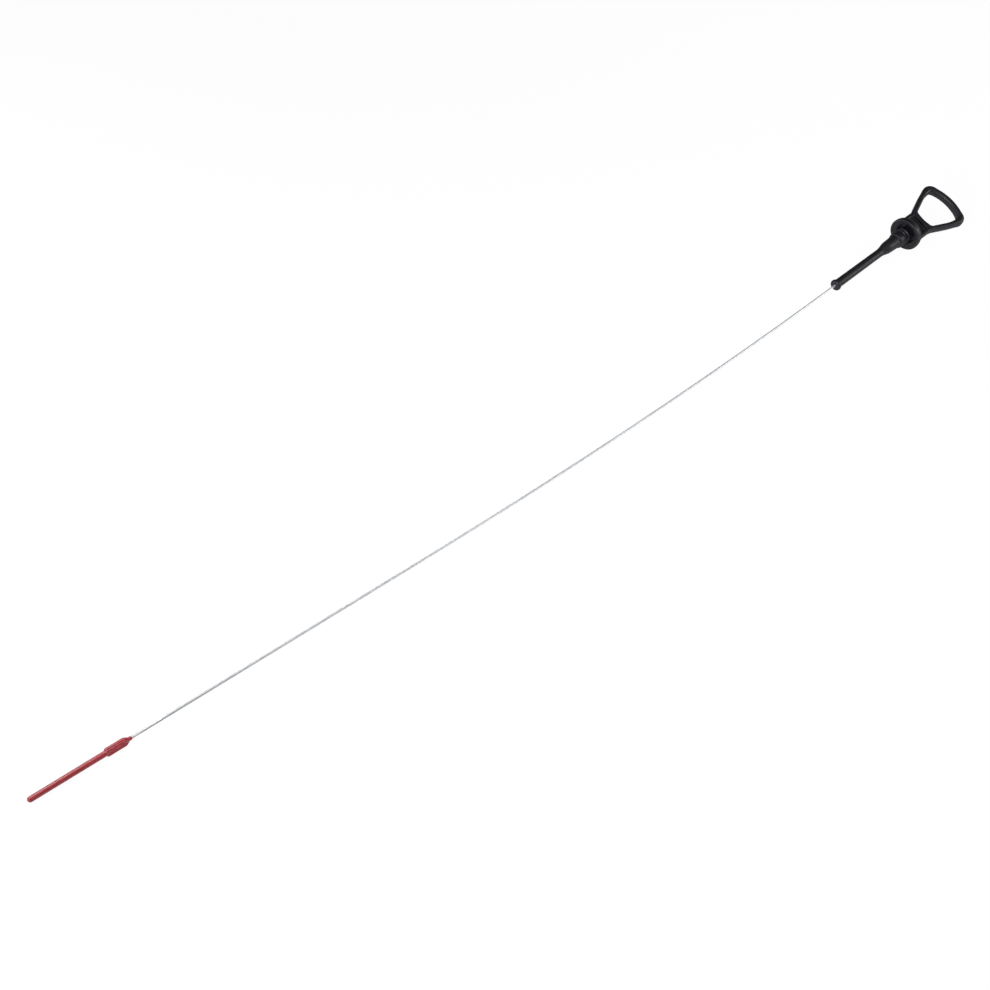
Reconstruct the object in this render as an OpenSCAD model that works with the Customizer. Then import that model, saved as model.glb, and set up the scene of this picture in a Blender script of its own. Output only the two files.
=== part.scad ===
// Engine oil dipstick: a moulded pull handle with its tube plug, a long bowed
// spring wire, and a moulded gauge tip. It lies as it rests on a table.
// The handle's axis is X, with the loop towards +X, and Z is up. The origin is
// the middle of the plug's round wall. Lengths are in millimetres.

/* [Stick] */
// From the cap's rim to the end of the gauge tip, along the stick
reach = 846.7; // [500:0.1:1200]
// Diameter of the spring wire
wire_d = 1.9; // [1.5:0.1:3]
// Length of the bowed stretch, which starts where the wire leaves the handle
bow_len = 447; // [200:1:500]
// Angle that the bow turns the wire through
bow_turn = 4.26; // [1:0.02:6]
// From the cap's rim to the wire's end inside the handle
wire_inset = 39.6; // [36:0.1:70]
// Length of wire moulded into the gauge tip
tip_grip = 24; // [8:1:60]

/* [Handle rod and plug] */
// From the cap's rim to the end where the wire comes out
rod_reach = 94.6; // [85:0.1:130]
// Diameter of the slim rod at the collar
rod_d = 7; // [5:0.05:9]
// Diameter of the slim rod at the thick neck
rod_root_d = 6.7; // [5:0.05:9]
// Diameter of the collar at the rod's end
collar_d = 9.2; // [8.5:0.1:12]
// Length of the collar
collar_len = 3.8; // [3:0.1:6]
// Diameter of the thick neck where it meets the plug
throat_d = 11.2; // [9.5:0.1:12]
// Diameter of the thick neck where its flare ends
throat_start_d = 10.3; // [8:0.1:11.5]
// Length of the thick neck, its flare included
throat_len = 23; // [15:0.5:30]
// Length of the soft flare from the rod to the thick neck
throat_flare = 12; // [6:0.5:14]
// From the cap's rim to the small core pin holes in the rod
pin_reach = 52.5; // [42:0.5:70]
// Diameter of those holes
pin_d = 1.5; // [1:0.1:2]
// Angle of those holes about the handle's axis
pin_roll = 6; // [0:1:40]
// Diameter of the plug that fits the dip tube
plug_d = 13.2; // [12.5:0.1:14]
// Length of the plug's round wall, its thin ring groove included
plug_len = 8.6; // [5:0.1:11]
// Width of the thin ring groove in that wall
ring_w = 0.8; // [0.4:0.1:1.2]
// From the wall's cap end to that groove
ring_inset = 1.8; // [1:0.1:3]
// Length of the seal groove and its lip together
seal_len = 3; // [2.4:0.1:5]
// Depth of the seal groove
seal_depth = 1; // [0.4:0.1:1.6]
// From the cap's rim to the lip of the seal groove
lip_proud = 0.3; // [0.2:0.1:4]

/* [Cap] */
// Diameter of the cap over its rim
cap_d = 28.4; // [28:0.1:34]
// Diameter of the rim's inner edge
mouth_d = 25.8; // [22.6:0.1:25.8]
// Length of the cap's straight skirt
skirt_len = 2; // [1.8:0.1:5]
// Radius of the rounded back of the cap
dome_r = 8.2; // [7:0.1:9.5]
// Depth of the cap's conical inner face
funnel_depth = 2.4; // [1.5:0.1:5]
// Diameter of the round pocket for the end of the dip tube
pocket_d = 17.8; // [16.5:0.1:20]
// Depth of that pocket below the rim
pocket_depth = 7; // [6:0.1:8]

/* [Loop] */
// From the cap's rim to the outside of the loop
loop_reach = 66.7; // [58:0.1:80]
// Half of the loop's width, at the middle line of its outer corners
loop_half = 20.7; // [18:0.1:24]
// Radius of the loop's outer bar
bar_r = 36; // [30:1:42]
// Angle that the ends of the outer bar lean back
bar_lean = 22.7; // [18:0.1:26]
// Radius of the loop's outer corners, at their middle line
corner_r = 6; // [4:0.1:7]
// Width of the loop's outer bar, seen from above
bar_w = 4.8; // [3:0.1:6]
// Width of the loop at its outer corners
corner_w = 6.1; // [4:0.1:8]
// Thickness of the loop's outer bar
bar_t = 6.8; // [5:0.1:8]
// Depth of the fine line along the outer bar
line_depth = 0.5; // [0.2:0.1:0.8]
// Width of the loop's arms, seen from above
arm_w = 4.2; // [3:0.1:5]
// Thickness of the loop's arms
arm_t = 6.6; // [4:0.1:8]
// Thickness of the flat web between the cap and the loop
web_t = 6.4; // [5:0.1:9]
// Half of the web's width at its waist
web_half = 11.2; // [9.6:0.1:12]
// Length of the slot across the web
slot_len = 15.3; // [8:0.1:17]
// Width of that slot
slot_w = 2.1; // [1:0.1:2.4]
// Depth of that slot
slot_depth = 2; // [1:0.1:2.6]
// Depth of the shallow band beside the slot
band_depth = 1.2; // [0.2:0.1:1.4]
// Angle that the loop is turned about the handle's axis
loop_roll = 21; // [0:1:40]

/* [Gauge tip] */
// Diameter of the ribbed barrel over its ribs
barrel_d = 5.7; // [5:0.1:7]
// Length of the ribbed barrel, its cone included
barrel_len = 16.3; // [12:0.1:25]
// Length of the cone at the wire end of the barrel
barrel_cone = 2.85; // [1.5:0.05:4]
// Number of ribs round the barrel
ribs = 10; // [8:1:12]
// Depth of the grooves between the ribs
rib_depth = 0.45; // [0.2:0.05:0.5]
// Diameter of the smooth probe below the barrel
probe_d = 3.75; // [3.4:0.05:4.6]
// Length of the smooth probe
probe_len = 54; // [35:0.5:90]
// Diameter of the short sleeve round the wire
sleeve_d = 2.5; // [2.3:0.05:3.4]
// Length of that sleeve
sleeve_len = 1.8; // [1:0.1:4]

/* [Hidden] */
$fn = 96;
wire_r = wire_d / 2;
// Length of wire moulded into the handle
handle_grip = rod_reach - wire_inset;
bow_r = bow_len / (bow_turn * PI / 180);

// Where the barrel meets the table, along the stick from the bow's end
barrel_front = reach - probe_len - barrel_len;
rest_at = barrel_front + barrel_cone - rod_reach - bow_len;
rest_along = rod_reach + bow_r * sin(bow_turn) + rest_at * cos(bow_turn);
rest_aside = bow_r * (1 - cos(bow_turn)) + rest_at * sin(bow_turn);

// The stick rests on the cap's rim, on the lowest point of its bow and on the
// barrel. "rise" is the sine of the angle between the bow's plane and the
// table, "slope" the tangent of the handle's tilt that then rests the barrel.
function slope(rise) = (rise * rest_aside + (cap_d - barrel_d) / 2) / rest_along;
function bow_gap(rise) =
    cap_d / 2 - wire_r - rod_reach * slope(rise)
    + bow_r * (rise - sqrt(rise * rise + pow(slope(rise), 2)));
function settle(low, high, turns) =
    let (mid = (low + high) / 2)
    turns == 0 ? mid
    : bow_gap(mid) > 0 ? settle(mid, high, turns - 1) : settle(low, mid, turns - 1);
rise = settle(0.3, 1, 40);
tilt = atan(slope(rise));
bow_roll = asin(rise);

// Points of an arc about a centre, from one angle to another
function arc(centre, r, from, to, parts = 12) =
    [for (i = [0 : parts]) let (a = from + (to - from) * i / parts)
        centre + r * [cos(a), sin(a)]];

function blend(a, b, t) = a + (b - a) * t;

// Turns a profile of [radius, place along X] about the X axis
module turned() {
    rotate([0, 90, 0]) rotate_extrude() children();
}

// Lays the model as it rests, with the origin at the middle of the plug
plug_mid = -(lip_proud + seal_len + plug_len / 2);
module at_rest() {
    rotate([0, -tilt, 0]) translate([-plug_mid, 0, 0]) children();
}

// Places what follows the bow, with -X running on along the stick
module past_bow() {
    rotate([bow_roll, 0, 0])
        translate([-rod_reach - bow_r * sin(bow_turn), bow_r * (1 - cos(bow_turn)), 0])
            rotate([0, 0, -bow_turn]) children();
}

// Rod, plug and cap, as one turned profile
collar_round = 0.9;
rim_round = 0.9;
plug_top = -(lip_proud + seal_len);
plug_foot = plug_top - plug_len;
throat_foot = plug_foot - throat_len;
plug_bevel = (plug_d - throat_d) / 2;
function core_profile() = concat(
    [[0, -rod_reach]],
    arc([collar_d / 2 - collar_round, collar_round - rod_reach], collar_round, -90, 0, 6),
    arc([collar_d / 2 - collar_round, collar_len / 2 - rod_reach], collar_round, 0, 45, 6),
    [[rod_d / 2, collar_len - rod_reach]],
    [for (i = [0 : 10]) let (t = i / 10)
        [blend(rod_root_d, throat_start_d, (1 - cos(180 * t)) / 2) / 2, throat_foot + throat_flare * t]],
    [
     [throat_d / 2, plug_foot - plug_bevel],
     [plug_d / 2, plug_foot],
     [plug_d / 2, plug_top - ring_inset - ring_w],
     [plug_d / 2 - seal_depth, plug_top - ring_inset - ring_w],
     [plug_d / 2 - seal_depth, plug_top - ring_inset],
     [plug_d / 2, plug_top - ring_inset],
     [plug_d / 2, plug_top],
     [plug_d / 2 - seal_depth, plug_top],
     [plug_d / 2 - seal_depth, plug_top + seal_len / 2],
     [plug_d / 2, plug_top + seal_len / 2],
     [plug_d / 2, plug_top + seal_len],
     [plug_d / 2 - seal_depth, plug_top + seal_len],
     [plug_d / 2 - seal_depth, pocket_depth],
     [pocket_d / 2, pocket_depth],
     [pocket_d / 2, funnel_depth],
     [mouth_d / 2, 0.4]],
    arc([cap_d / 2 - rim_round, rim_round], rim_round, -100, 0, 8),
    arc([cap_d / 2 - dome_r, skirt_len], dome_r, 0, 90, 16),
    [[0, skirt_len + dome_r]]);

// The loop's middle line is a closed chain of corners, each [x, y, radius]
base_x = 23.6;
bar_tip = loop_reach - bar_w / 2 + bar_r * (1 / cos(bar_lean) - 1);
corner_x = bar_tip - loop_half * tan(bar_lean);
half_line = [
    [base_x + 2.2, 10.2, 5],
    [(base_x + corner_x) / 2 + 3.2, loop_half - 3.4, 60],
    [corner_x, loop_half, corner_r]];
loop_line = concat(
    [[base_x, 0, 30]],
    half_line,
    [[bar_tip, 0, bar_r]],
    [for (i = [len(half_line) - 1 : -1 : 0])
        [half_line[i][0], -half_line[i][1], half_line[i][2]]]);

function unit(v) = v / norm(v);
// Arc that rounds corner b between the lines from a and to c
function rounded(a, b, c, r, parts) =
    let (back = unit(a - b), on = unit(c - b),
         half = acos(back * on) / 2,
         centre = b + unit(back + on) * r / sin(half),
         first = b + back * r / tan(half) - centre,
         last = b + on * r / tan(half) - centre,
         from = atan2(first[1], first[0]),
         sweep = (atan2(last[1], last[0]) - from + 540) % 360 - 180)
    [for (i = [0 : parts]) let (t = from + sweep * i / parts)
        centre + r * [cos(t), sin(t)]];
function flat(list) = [for (part = list) each part];
function xy(p) = [p[0], p[1]];
loop_path = flat([for (i = [0 : len(loop_line) - 1])
    let (n = len(loop_line), p = loop_line[i])
    rounded(xy(loop_line[(i + n - 1) % n]), xy(p), xy(loop_line[(i + 1) % n]), p[2], 8)]);

// Share of the way from the arms to the outer bar, by place along X
function bar_share(x) = let (t = min(1, max(0, (x - 42) / 14))) t * t * (3 - 2 * t);

// Share of the way to the full width of an outer corner, by place on the line
function corner_share(p) =
    let (d = norm([p[0] - corner_x, abs(p[1]) - loop_half]), t = min(1, max(0, (9 - d) / 6)))
    t * t * (3 - 2 * t);

// Rounded oblong section, a superellipse of the given width and thickness, as
// [inwards, up] points. A fine line is cut into it, on both faces.
line_from = 100;
line_mid = 108;
line_to = 116;
section_angles = concat(
    [0, 18, 36, 54, 72, 90, line_from, line_mid, line_to, 126, 144, 162],
    [180, 198, 216, 234, 360 - line_to, 360 - line_mid, 360 - line_from, 270, 288, 306, 324, 342]);
section_n = len(section_angles);
function section(w, t, line) = [for (a = section_angles)
    let (c = cos(a), s = sin(a), cut = abs(abs(a - 180) - (180 - line_mid)) < 1 ? line : 0)
    [sign(c) * pow(abs(c), 0.6) * w / 2, sign(s) * (pow(abs(s), 0.6) * t / 2 - cut)]];

// Sweeps the section along the closed middle line
module loop_ring() {
    n = len(loop_path);
    rings = [for (i = [0 : n - 1])
        let (p = loop_path[i],
             along = unit(loop_path[(i + 1) % n] - loop_path[(i + n - 1) % n]),
             inwards = [along[1], -along[0]],
             share = bar_share(p[0]),
             w = blend(blend(arm_w, bar_w, share), corner_w, corner_share(p)),
             s = section(w, blend(arm_t, bar_t, share), line_depth * share))
        [for (q = s) [p[0] + inwards[0] * q[0], p[1] + inwards[1] * q[0], q[1]]]];
    m = section_n;
    polyhedron(
        points = flat(rings),
        faces = flat([for (i = [0 : n - 1], j = [0 : m - 1])
            let (a = i * m + j, b = i * m + (j + 1) % m,
                 c = ((i + 1) % n) * m + (j + 1) % m, d = ((i + 1) % n) * m + j)
            [[a, b, c], [a, c, d]]]));
}

// Flat web from the cap's back to the loop's base: it flares into both
web_start = pocket_depth + 1.4;
flare_start = pocket_depth - 1.5;
waist_start = 12.3;
waist_end = base_x - 3;
cap_flare = 4;
arm_flare = 17;
slot_x = base_x - 2.9;
function web_half_outline() = concat(
    [[web_start, 0], [web_start, pocket_d / 2 + 0.7],
     [flare_start, pocket_d / 2 + 0.7], [flare_start, web_half + 1.1]],
    arc([waist_start, web_half + cap_flare], cap_flare, 230, 270, 8),
    arc([waist_end, web_half + arm_flare], arm_flare, 270, 292, 8),
    [[base_x + 2, 9.6], [base_x + 0.6, 5], [base_x, 0]]);
module web() {
    difference() {
        for (side = [0, 1]) mirror([0, side, 0])
            translate([0, 0, -web_t / 2]) linear_extrude(web_t) polygon(web_half_outline());
        for (face = [-1, 1]) {
            translate([slot_x, 0, face * web_t / 2])
                cube([slot_w, slot_len, 2 * slot_depth], center = true);
            translate([(waist_start + slot_x - slot_w) / 2 + 0.4, 0, face * web_t / 2])
                cube([slot_x - slot_w - waist_start - 1, slot_len + 1, 2 * band_depth], center = true);
        }
    }
}

module handle() {
    color([0.17, 0.165, 0.185]) at_rest() difference() {
        union() {
            turned() polygon(core_profile());
            rotate([loop_roll, 0, 0]) {
                web();
                loop_ring();
            }
        }
        translate([-rod_reach - 1, 0, 0]) rotate([0, 90, 0])
            cylinder(r = wire_r, h = handle_grip + 1);
        translate([-rod_reach, 0, 0]) rotate([0, 90, 0])
            cylinder(r1 = 2 * wire_r, r2 = wire_r, h = wire_r);
        for (face = [0, 180])
            translate([-pin_reach, 0, 0]) rotate([pin_roll + face, 0, 0])
                translate([0, 0, wire_r + 0.4]) cylinder(d = pin_d, h = rod_d, $fn = 24);
    }
}

// Stations along the wire's middle line, each [x, y, turn], in the bow's plane:
// the handle's grip, the bow in equal steps, and the straight run into the tip
bow_steps = 28;
wire_line = concat(
    [[handle_grip, 0, 0]],
    [for (i = [0 : bow_steps]) let (b = bow_turn * i / bow_steps)
        [-bow_r * sin(b), bow_r * (1 - cos(b)), b]],
    [let (run = barrel_front - sleeve_len - rod_reach - bow_len + tip_grip)
        [-bow_r * sin(bow_turn) - run * cos(bow_turn),
         bow_r * (1 - cos(bow_turn)) + run * sin(bow_turn), bow_turn]]);

module wire() {
    sides = 20;
    n = len(wire_line);
    color([0.8, 0.82, 0.85]) at_rest() rotate([bow_roll, 0, 0]) translate([-rod_reach, 0, 0])
        polyhedron(
            points = flat([for (p = wire_line) [for (j = [0 : sides - 1])
                let (a = 360 * j / sides, out = wire_r * cos(a))
                [p[0] + out * sin(p[2]), p[1] + out * cos(p[2]), wire_r * sin(a)]]]),
            faces = concat(
                [[for (j = [0 : sides - 1]) j]],
                flat([for (i = [0 : n - 2], j = [0 : sides - 1])
                    let (a = i * sides + j, b = i * sides + (j + 1) % sides)
                    [[a, a + sides, b + sides], [a, b + sides, b]]]),
                [[for (j = [sides - 1 : -1 : 0]) (n - 1) * sides + j]]));
}

// Barrel with ribs, sleeve and probe; its own X runs on along the stick
module gauge_tip() {
    front = barrel_front - rod_reach - bow_len;
    back = front + barrel_len;
    barrel_r = barrel_d / 2;
    shoulder = 0.8;
    color([0.68, 0.2, 0.25]) at_rest() past_bow() mirror([1, 0, 0]) difference() {
        turned() polygon(concat(
            [[0, front - sleeve_len],
             [sleeve_d / 2, front - sleeve_len],
             [sleeve_d / 2, front],
             [barrel_r, front + barrel_cone]],
            arc([barrel_r - shoulder, back - shoulder], shoulder, 0, 90, 6),
            [[probe_d / 2, back]],
            arc([0, back + probe_len - probe_d / 2], probe_d / 2, 0, 90, 12)));
        for (i = [0 : ribs - 1])
            rotate([360 * i / ribs, 0, 0])
                translate([front + barrel_cone / 2, 0, barrel_r])
                    rotate([45, 0, 0])
                        translate([0, -rib_depth / sqrt(2), -rib_depth / sqrt(2)])
                            cube([barrel_len, rib_depth * sqrt(2), rib_depth * sqrt(2)]);
        translate([front - sleeve_len - 1, 0, 0]) rotate([0, 90, 0])
            cylinder(r = wire_r, h = tip_grip + 1);
    }
}

handle();
wire();
gauge_tip();
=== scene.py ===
"""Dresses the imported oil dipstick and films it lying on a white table."""
import math

import bmesh
import bpy
import numpy as np
from mathutils import Euler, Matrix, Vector


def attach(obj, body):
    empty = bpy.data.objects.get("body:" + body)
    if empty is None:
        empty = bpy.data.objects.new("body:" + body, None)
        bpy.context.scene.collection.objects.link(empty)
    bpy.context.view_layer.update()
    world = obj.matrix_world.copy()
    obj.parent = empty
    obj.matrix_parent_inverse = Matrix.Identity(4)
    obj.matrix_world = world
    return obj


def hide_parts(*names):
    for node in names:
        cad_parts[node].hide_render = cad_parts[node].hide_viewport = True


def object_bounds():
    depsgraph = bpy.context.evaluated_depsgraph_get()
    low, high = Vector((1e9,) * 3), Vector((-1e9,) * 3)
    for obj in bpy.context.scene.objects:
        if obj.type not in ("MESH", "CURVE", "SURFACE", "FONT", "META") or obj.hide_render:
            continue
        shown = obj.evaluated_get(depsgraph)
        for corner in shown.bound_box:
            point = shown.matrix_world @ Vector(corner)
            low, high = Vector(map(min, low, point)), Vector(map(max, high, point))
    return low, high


MM = 0.001

# Camera, worked out from the stick's bow and foreshortening: its place in metres, its
# turn, its tilt down and a last small turn in degrees, and its lens in pixels
CAMERA_AT = (-0.97167, -0.52898, 0.77590)
CAMERA_YAW = 46.824
CAMERA_PITCH = 46.14
CAMERA_NUDGE = (-0.0145, -0.0222, 0.0621)
CAMERA_NEAR = 0.01
FOCAL_PIXELS = 1500.0
FRAME_PIXELS = 990.0
SENSOR = 36.0

# The two mouldings: how finely their skins are rebuilt, how they are softened, and
# how far the skins stand out from the solids. The neck is the stretch softened most
HANDLE_VOXEL = 0.36 * MM
HANDLE_SOFTENING = 5
NECK_FROM = 15 * MM
NECK_TO = 38 * MM
NECK_SOFTENING = 14
HANDLE_SWELL = 0.22 * MM
TIP_VOXEL = 0.14 * MM
TIP_SOFTENING = 3
TIP_SWELL = 0.10 * MM

# The bright wire: points round it, steps from one packed ring to the next, and the
# least gap between two packed rings
WIRE_SIDES = 32
WIRE_STEPS = 5
RING_GAP = 2 * MM

# Painted shade darkens the wire towards the gauge tip: where along it the shade is full, where it
# ends, and the share of the tone that full shade leaves
TIP_SHADE_FULL = -0.76
TIP_SHADE_END = -0.48
TIP_SHADE_SHARE = 0.50

# Most of a noise lies between these two values
NOISE_LOW = 0.3
NOISE_HIGH = 0.7

# How a surface turning away from the eye is weighed, and where its rim begins and ends
RIM_BLEND = 0.35
RIM_START = 0.25
RIM_END = 0.95

# The table top: its place and tone, how brightly it shines, what share of its look
# that shine is, and how much of this share is left in gloss
FLOOR_MIDDLE = (-0.4, 0)
FLOOR_HALF = 4.0
FLOOR_TONE = (0.88, 0.88, 0.88, 1)
FLOOR_ROUGHNESS = 0.9
FLOOR_SHINE = 1.03
FLOOR_SHINE_SHARE = 0.93
FLOOR_IN_GLOSS = 0.65

# The room: the level it lights at, the level that gloss sees, and its dim spots, each
# with its direction, the cosines where it begins and is full, and the share left there
ROOM_LEVEL = 0.30
GLOSSY_LEVEL = 0.78
DIM_SPOTS = (
    ((0.74, 0.48, 0.47), 0.42, 0.84, 0.04),
    ((0.15, -0.95, 0.27), 0.74, 0.93, 0.08),
)

# The lamps: name, place, where they point, size, watts and the beam's angle in degrees
LAMPS = (
    ("left", (-0.82, 0.65, 1.10), (-0.84, 0, 0), (0.6, 1.4), 3.6, 60),
    ("right", (0.88, -0.70, 0.36), (0, 0, 0), (0.4, 0.4), 0.55, 60),
    ("front", (-1.25, -0.25, 0.50), (0.02, 0, 0), (0.5, 0.5), 1.2, 45),
)


def node(material, kind, **values):
    """Adds a shader node and sets its named inputs."""
    made = material.node_tree.nodes.new(kind)
    for name, value in values.items():
        made.inputs[name.replace("_", " ")].default_value = value
    return made


def new_material(name):
    """A new material, with its Principled shader and its links."""
    material = bpy.data.materials.new(name)
    material.use_nodes = True
    return material, material.node_tree.nodes["Principled BSDF"], material.node_tree.links


def ramp(material, low, low_colour, high, high_colour):
    """A colour ramp between two stops."""
    made = material.node_tree.nodes.new("ShaderNodeValToRGB")
    made.color_ramp.elements[0].position = low
    made.color_ramp.elements[0].color = (*low_colour, 1)
    made.color_ramp.elements[1].position = high
    made.color_ramp.elements[1].color = (*high_colour, 1)
    return made


def uneven_rough(material, low, high):
    """Roughness between two values, for a noise to choose from."""
    return node(material, "ShaderNodeMapRange", From_Min=NOISE_LOW, From_Max=NOISE_HIGH,
                To_Min=low, To_Max=high)


def dull_rim(material, links, rough, amount):
    """Roughness that grows where the surface turns away from the eye."""
    facing = node(material, "ShaderNodeLayerWeight", Blend=RIM_BLEND)
    rim = node(material, "ShaderNodeMapRange", From_Min=RIM_START, From_Max=RIM_END,
               To_Min=0.0, To_Max=amount)
    total = material.node_tree.nodes.new("ShaderNodeMath")
    links.new(facing.outputs["Facing"], rim.inputs["Value"])
    links.new(rough.outputs["Result"], total.inputs[0])
    links.new(rim.outputs["Result"], total.inputs[1])
    return total.outputs["Value"]


def handle_plastic():
    """Black moulded plastic: satin, with a fine grain, faint scuffs and an uneven tone."""
    material, shader, links = new_material("handle_plastic")
    place = material.node_tree.nodes.new("ShaderNodeTexCoord")
    cloud = node(material, "ShaderNodeTexNoise", Scale=160.0, Detail=5.0, Roughness=0.65)
    grain = node(material, "ShaderNodeTexNoise", Scale=2400.0, Detail=2.0)
    stretch = node(material, "ShaderNodeMapping", Scale=(60.0, 900.0, 900.0))
    scuff = node(material, "ShaderNodeTexNoise", Scale=1.0, Detail=4.0, Roughness=0.7)
    tone = ramp(material, 0.35, (0.0080, 0.0068, 0.0100), 0.70, (0.0145, 0.0125, 0.0178))
    rough = uneven_rough(material, 0.36, 0.52)
    fine = node(material, "ShaderNodeBump", Strength=0.10, Distance=0.0001)
    coarse = node(material, "ShaderNodeBump", Strength=0.06, Distance=0.0004)
    for source in (cloud, grain, stretch):
        links.new(place.outputs["Object"], source.inputs["Vector"])
    links.new(stretch.outputs["Vector"], scuff.inputs["Vector"])
    links.new(cloud.outputs["Fac"], tone.inputs["Fac"])
    links.new(tone.outputs["Color"], shader.inputs["Base Color"])
    links.new(scuff.outputs["Fac"], rough.inputs["Value"])
    links.new(dull_rim(material, links, rough, 0.45), shader.inputs["Roughness"])
    links.new(cloud.outputs["Fac"], coarse.inputs["Height"])
    links.new(grain.outputs["Fac"], fine.inputs["Height"])
    links.new(coarse.outputs["Normal"], fine.inputs["Normal"])
    links.new(fine.outputs["Normal"], shader.inputs["Normal"])
    shader.inputs["Specular IOR Level"].default_value = 0.30
    return material


def painted_tip_shade(material, links, place, tone):
    """A tone darkened by painted shade towards the gauge tip, by the length along the wire in its map.
    """
    along = material.node_tree.nodes.new("ShaderNodeSeparateXYZ")
    tip_shade = node(material, "ShaderNodeMapRange", From_Min=TIP_SHADE_FULL, From_Max=TIP_SHADE_END,
                 To_Min=TIP_SHADE_SHARE, To_Max=1.0)
    shaded_tone = material.node_tree.nodes.new("ShaderNodeVectorMath")
    shaded_tone.operation = "SCALE"
    links.new(place.outputs["UV"], along.inputs["Vector"])
    links.new(along.outputs["X"], tip_shade.inputs["Value"])
    links.new(tone.outputs["Color"], shaded_tone.inputs[0])
    links.new(tip_shade.outputs["Result"], shaded_tone.inputs["Scale"])
    return shaded_tone.outputs["Vector"]


def spring_wire():
    """Bright drawn steel, cloudy in tone, with fine marks along it and painted shade darkening the end
    at the gauge tip.
    """
    material, shader, links = new_material("spring_wire")
    place = material.node_tree.nodes.new("ShaderNodeTexCoord")
    stretch = node(material, "ShaderNodeMapping", Scale=(26.0, 24.0, 1.0))
    marks = node(material, "ShaderNodeTexNoise", Scale=1.0, Detail=3.0)
    cloud = node(material, "ShaderNodeTexNoise", Scale=120.0, Detail=4.0, Roughness=0.6)
    tone = ramp(material, 0.35, (0.84, 0.86, 0.89), 0.65, (0.93, 0.95, 0.98))
    rough = uneven_rough(material, 0.38, 0.54)
    bump = node(material, "ShaderNodeBump", Strength=0.05, Distance=0.00005)
    links.new(place.outputs["UV"], stretch.inputs["Vector"])
    links.new(place.outputs["Object"], cloud.inputs["Vector"])
    links.new(stretch.outputs["Vector"], marks.inputs["Vector"])
    links.new(cloud.outputs["Fac"], tone.inputs["Fac"])
    # The wire's base colour is darkened towards the gauge tip by painted shade
    links.new(painted_tip_shade(material, links, place, tone), shader.inputs["Base Color"])
    links.new(marks.outputs["Fac"], rough.inputs["Value"])
    links.new(dull_rim(material, links, rough, 0.20), shader.inputs["Roughness"])
    links.new(marks.outputs["Fac"], bump.inputs["Height"])
    links.new(bump.outputs["Normal"], shader.inputs["Normal"])
    shader.inputs["Metallic"].default_value = 0.80
    return material


def tip_plastic():
    """Red moulded plastic, a little uneven in tone, with a soft gloss and fine flow marks."""
    material, shader, links = new_material("tip_plastic")
    place = material.node_tree.nodes.new("ShaderNodeTexCoord")
    cloud = node(material, "ShaderNodeTexNoise", Scale=260.0, Detail=3.0)
    grain = node(material, "ShaderNodeTexNoise", Scale=2600.0, Detail=2.0)
    tone = ramp(material, 0.35, (0.260, 0.0165, 0.0235), 0.70, (0.330, 0.0235, 0.0315))
    rough = uneven_rough(material, 0.32, 0.44)
    bump = node(material, "ShaderNodeBump", Strength=0.06, Distance=0.0001)
    for source in (cloud, grain):
        links.new(place.outputs["Object"], source.inputs["Vector"])
    links.new(cloud.outputs["Fac"], tone.inputs["Fac"])
    links.new(tone.outputs["Color"], shader.inputs["Base Color"])
    links.new(cloud.outputs["Fac"], rough.inputs["Value"])
    links.new(dull_rim(material, links, rough, 0.40), shader.inputs["Roughness"])
    links.new(grain.outputs["Fac"], bump.inputs["Height"])
    links.new(bump.outputs["Normal"], shader.inputs["Normal"])
    shader.inputs["Specular IOR Level"].default_value = 0.60
    return material


def give(mesh_object, material):
    """Puts one material on an object."""
    mesh_object.data.materials.clear()
    mesh_object.data.materials.append(material)


def stand_for(piece, name, material):
    """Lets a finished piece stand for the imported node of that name."""
    give(piece, material)
    piece.data.polygons.foreach_set("use_smooth", [True] * len(piece.data.polygons))
    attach(piece, "root")
    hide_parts(name)


def apply_modifiers(piece):
    """Turns an object's modifiers into its own mesh."""
    bpy.context.view_layer.update()
    seen = piece.evaluated_get(bpy.context.evaluated_depsgraph_get())
    made = bpy.data.meshes.new_from_object(seen)
    piece.modifiers.clear()
    piece.data = made


def soften(piece, times, group=""):
    """Adds smoothing passes, over a group of points or over all of them."""
    smooth = piece.modifiers.new("soften", "SMOOTH")
    smooth.factor = 0.5
    smooth.iterations = times
    smooth.vertex_group = group


def swell(piece, amount):
    """Moves a skin outwards by a hair, and no further than the solids' own box."""
    puff = piece.modifiers.new("puff", "DISPLACE")
    puff.strength = amount
    puff.mid_level = 0.0
    apply_modifiers(piece)
    points = np.empty(len(piece.data.vertices) * 3)
    piece.data.vertices.foreach_get("co", points)
    points = np.clip(points.reshape(-1, 3), cad_low, cad_high)
    piece.data.vertices.foreach_set("co", points.ravel())


def new_skin(name, new_name, voxel):
    """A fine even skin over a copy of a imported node."""
    piece = bpy.data.objects.new(new_name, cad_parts[name].data.copy())
    bpy.context.scene.collection.objects.link(piece)
    skin = piece.modifiers.new("skin", "REMESH")
    skin.mode = "VOXEL"
    skin.voxel_size = voxel
    apply_modifiers(piece)
    return piece


def handle_moulding():
    """The handle with soft moulded edges and fillets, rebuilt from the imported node."""
    piece = new_skin("handle", "handle_moulding", HANDLE_VOXEL)
    neck = piece.vertex_groups.new(name="neck")
    inside = [v.index for v in piece.data.vertices if NECK_FROM < v.co.x < NECK_TO]
    neck.add(inside, 1.0, "REPLACE")
    soften(piece, HANDLE_SOFTENING)
    soften(piece, NECK_SOFTENING, "neck")
    swell(piece, HANDLE_SWELL)
    return piece


def tip_moulding():
    """The gauge tip with softly rounded ribs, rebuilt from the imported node."""
    piece = new_skin("gauge_tip", "tip_moulding", TIP_VOXEL)
    soften(piece, TIP_SOFTENING)
    swell(piece, TIP_SWELL)
    return piece


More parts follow.
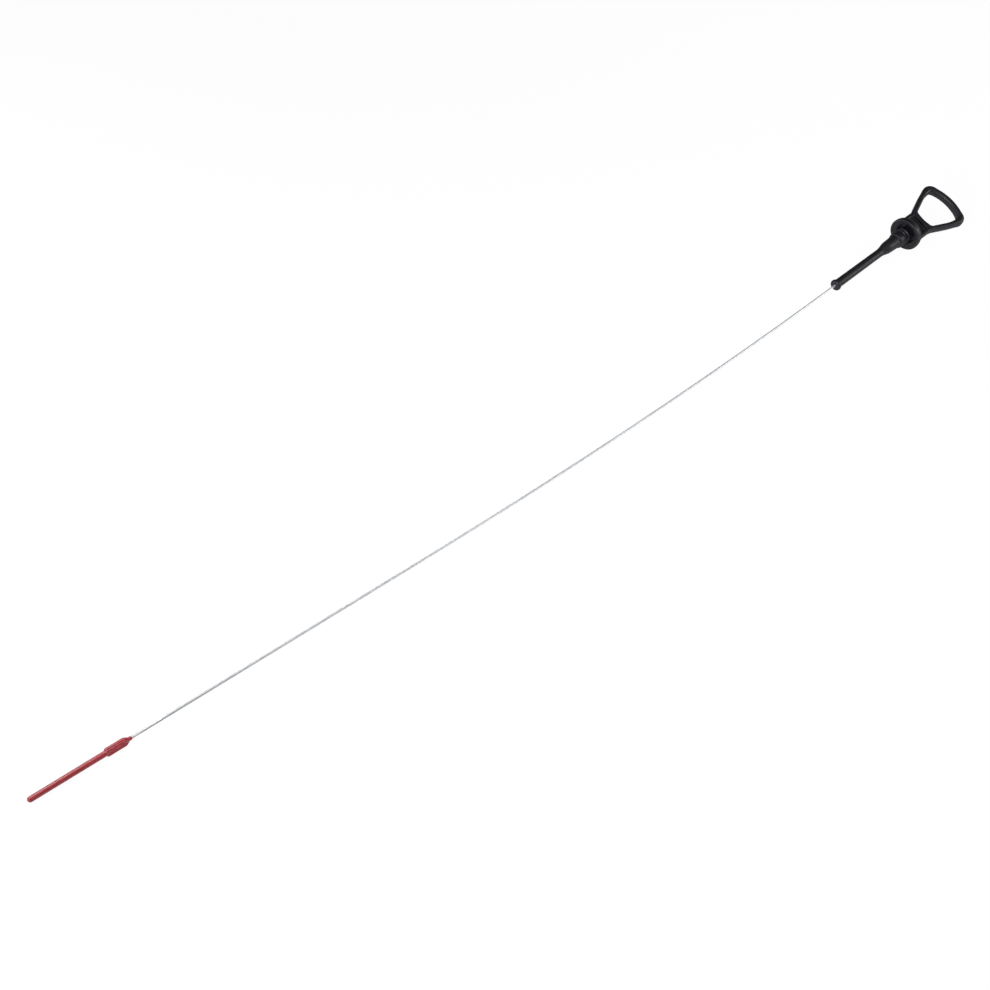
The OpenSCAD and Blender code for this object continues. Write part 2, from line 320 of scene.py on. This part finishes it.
def packed_wire():
    """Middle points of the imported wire's rings, in order along it, and its radius."""
    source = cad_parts["wire"].data
    points = np.empty(len(source.vertices) * 3)
    source.vertices.foreach_get("co", points)
    points = np.unique(points.reshape(-1, 3).round(7), axis=0)
    points = points[points[:, 0].argsort()]
    cuts = np.flatnonzero(np.diff(points[:, 0]) > RING_GAP) + 1
    rings = np.split(points, cuts)
    centres = np.array([ring.mean(0) for ring in rings])
    radius = float(np.linalg.norm(rings[0] - centres[0], axis=1).max())
    return centres, radius


def smooth_line(centres):
    """A smooth line through the ring centres, however far apart they are."""
    spans = np.diff(centres, axis=0)
    reach = np.linalg.norm(spans, axis=1)[:, None]
    inner = (spans[:-1] + spans[1:]) / (reach[:-1] + reach[1:])
    ways = np.vstack([spans[0] / reach[0], inner, spans[-1] / reach[-1]])
    line = []
    for i in range(len(spans)):
        for step in range(WIRE_STEPS):
            t = step / WIRE_STEPS
            gone = 3 * t ** 2 - 2 * t ** 3
            leaving = (t ** 3 - 2 * t ** 2 + t) * reach[i] * ways[i]
            coming = (t ** 3 - t ** 2) * reach[i] * ways[i + 1]
            line.append(centres[i] + gone * spans[i] + leaving + coming)
    line.append(centres[-1])
    return line


def wire_rings(shape, line, radius):
    """Rings of points round a line, square to its run."""
    angles = [2 * math.pi * j / WIRE_SIDES for j in range(WIRE_SIDES)]
    rings = []
    for i, middle in enumerate(line):
        along = Vector(line[min(i + 1, len(line) - 1)] - line[max(i - 1, 0)]).normalized()
        side = along.cross(Vector((0, 0, 1))).normalized()
        up = side.cross(along)
        rings.append([shape.verts.new(Vector(middle) + radius * (math.cos(a) * side + math.sin(a) * up))
                      for a in angles])
    return rings


def join_rings(shape, rings, line, wrap):
    """Faces from ring to ring, mapped by the length along the wire and the turn round it."""
    for i in range(len(rings) - 1):
        here, there = line[i][0], line[i + 1][0]
        for j in range(WIRE_SIDES):
            k = (j + 1) % WIRE_SIDES
            face = shape.faces.new((rings[i][j], rings[i][k], rings[i + 1][k], rings[i + 1][j]))
            corners = ((here, j), (here, j + 1), (there, j + 1), (there, j))
            for loop, (length, turn) in zip(face.loops, corners):
                loop[wrap].uv = (length, turn / WIRE_SIDES)


def bright_wire():
    """A finely rounded wire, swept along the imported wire's middle line."""
    centres, radius = packed_wire()
    line = smooth_line(centres)
    shape = bmesh.new()
    wrap = shape.loops.layers.uv.new("wrap")
    rings = wire_rings(shape, line, radius)
    join_rings(shape, rings, line, wrap)
    shape.faces.new(rings[0])
    shape.faces.new(rings[-1][::-1])
    bmesh.ops.recalc_face_normals(shape, faces=shape.faces)
    mesh = bpy.data.meshes.new("bright_wire")
    shape.to_mesh(mesh)
    shape.free()
    piece = bpy.data.objects.new("bright_wire", mesh)
    bpy.context.scene.collection.objects.link(piece)
    return piece


def math_node(nodes, operation, *values):
    """A math node with its first inputs set; None leaves one for a link."""
    made = nodes.new("ShaderNodeMath")
    made.operation = operation
    for socket, value in zip(made.inputs, values):
        if value is not None:
            socket.default_value = value
    return made


def seen_directly(nodes, links, path):
    """One for rays from the camera and rays through glass, and zero for all others."""
    direct = math_node(nodes, "MAXIMUM")
    links.new(path.outputs["Is Camera Ray"], direct.inputs[0])
    links.new(path.outputs["Is Transmission Ray"], direct.inputs[1])
    return direct.outputs["Value"]


def floor_white():
    """Shines white to the camera, less so in gloss, over a plain white that takes shadow."""
    material, shader, links = new_material("floor_white")
    nodes = material.node_tree.nodes
    shader.inputs["Base Color"].default_value = FLOOR_TONE
    shader.inputs["Roughness"].default_value = FLOOR_ROUGHNESS
    shine = node(material, "ShaderNodeEmission", Strength=FLOOR_SHINE)
    path = nodes.new("ShaderNodeLightPath")
    dimmed = math_node(nodes, "MULTIPLY", None, FLOOR_IN_GLOSS)
    either = math_node(nodes, "MAXIMUM")
    share = math_node(nodes, "MULTIPLY", None, FLOOR_SHINE_SHARE)
    mix = nodes.new("ShaderNodeMixShader")
    links.new(seen_directly(nodes, links, path), either.inputs[0])
    links.new(path.outputs["Is Glossy Ray"], dimmed.inputs[0])
    links.new(dimmed.outputs["Value"], either.inputs[1])
    links.new(either.outputs["Value"], share.inputs[0])
    links.new(share.outputs["Value"], mix.inputs["Fac"])
    links.new(shader.outputs["BSDF"], mix.inputs[1])
    links.new(shine.outputs["Emission"], mix.inputs[2])
    links.new(mix.outputs["Shader"], nodes["Material Output"].inputs["Surface"])
    return material


def add_floor(low_z):
    """A white table top at the object's lowest point."""
    bpy.ops.mesh.primitive_plane_add(size=2 * FLOOR_HALF, location=(*FLOOR_MIDDLE, low_z))
    floor = bpy.context.object
    floor.name = "floor"
    floor.data.materials.append(floor_white())


def dim_spot(nodes, links, way, level, middle, edge, core, share):
    """A light level that falls to a share of itself round one direction."""
    near = nodes.new("ShaderNodeVectorMath")
    near.operation = "DOT_PRODUCT"
    near.inputs[1].default_value = Vector(middle).normalized()
    dimming = nodes.new("ShaderNodeMapRange")
    dimming.interpolation_type = "SMOOTHSTEP"
    for name, value in (("From Min", edge), ("From Max", core), ("To Min", 1.0), ("To Max", share)):
        dimming.inputs[name].default_value = value
    product = math_node(nodes, "MULTIPLY")
    links.new(way.outputs["Generated"], near.inputs[0])
    links.new(near.outputs["Value"], dimming.inputs["Value"])
    links.new(level, product.inputs[0])
    links.new(dimming.outputs["Result"], product.inputs[1])
    return product.outputs[0]


def add_world():
    """A pale room, white to the camera, with dim spots that glossy things reflect."""
    world = bpy.data.worlds.new("room")
    world.use_nodes = True
    bpy.context.scene.world = world
    nodes, links = world.node_tree.nodes, world.node_tree.links
    back = nodes["Background"]
    path = nodes.new("ShaderNodeLightPath")
    way = nodes.new("ShaderNodeTexCoord")
    level = nodes.new("ShaderNodeValue").outputs[0]
    level.default_value = GLOSSY_LEVEL
    for spot in DIM_SPOTS:
        level = dim_spot(nodes, links, way, level, *spot)
    glossy = nodes.new("ShaderNodeMix")
    glossy.inputs[2].default_value = ROOM_LEVEL
    camera = nodes.new("ShaderNodeMix")
    camera.inputs[3].default_value = 1.0
    links.new(path.outputs["Is Glossy Ray"], glossy.inputs[0])
    links.new(level, glossy.inputs[3])
    links.new(seen_directly(nodes, links, path), camera.inputs[0])
    links.new(glossy.outputs[0], camera.inputs[2])
    links.new(camera.outputs[0], back.inputs["Strength"])
    back.inputs["Color"].default_value = (1, 1, 1, 1)


def add_lamp(name, at, aim, size, power, spread):
    """One soft lamp at a place, pointed at another, with its beam's angle in degrees."""
    lamp = bpy.data.lights.new(name, "AREA")
    lamp.shape = "RECTANGLE"
    lamp.size, lamp.size_y = size
    lamp.energy = power
    lamp.spread = math.radians(spread)
    holder = bpy.data.objects.new(name, lamp)
    holder.location = at
    holder.rotation_euler = (Vector(aim) - Vector(at)).to_track_quat("-Z", "Y").to_euler()
    bpy.context.scene.collection.objects.link(holder)


def add_camera():
    """The photograph's view."""
    lens = bpy.data.cameras.new("camera")
    lens.sensor_width = SENSOR
    lens.lens = SENSOR * FOCAL_PIXELS / FRAME_PIXELS
    lens.clip_start = CAMERA_NEAR
    holder = bpy.data.objects.new("camera", lens)
    holder.location = CAMERA_AT
    yaw = math.radians(CAMERA_YAW)
    pitch = math.radians(CAMERA_PITCH)
    look = Vector((math.cos(pitch) * math.cos(yaw), math.cos(pitch) * math.sin(yaw), -math.sin(pitch)))
    nudge = Euler([math.radians(turn) for turn in CAMERA_NUDGE])
    holder.rotation_euler = (look.to_track_quat("-Z", "Y") @ nudge.to_quaternion()).to_euler()
    bpy.context.scene.collection.objects.link(holder)
    bpy.context.scene.camera = holder


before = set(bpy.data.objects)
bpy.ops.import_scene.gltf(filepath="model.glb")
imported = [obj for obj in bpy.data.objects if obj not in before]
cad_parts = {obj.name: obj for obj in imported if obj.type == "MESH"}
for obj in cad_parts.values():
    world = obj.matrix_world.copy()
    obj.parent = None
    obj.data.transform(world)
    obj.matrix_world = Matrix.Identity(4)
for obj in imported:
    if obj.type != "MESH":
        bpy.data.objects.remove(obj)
cad_low, cad_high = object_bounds()

add_camera()
add_world()
add_floor(cad_low[2])
for lamp in LAMPS:
    add_lamp(*lamp)

stand_for(handle_moulding(), "handle", handle_plastic())
stand_for(bright_wire(), "wire", spring_wire())
stand_for(tip_moulding(), "gauge_tip", tip_plastic())

bpy.context.scene.view_settings.view_transform = "Standard"
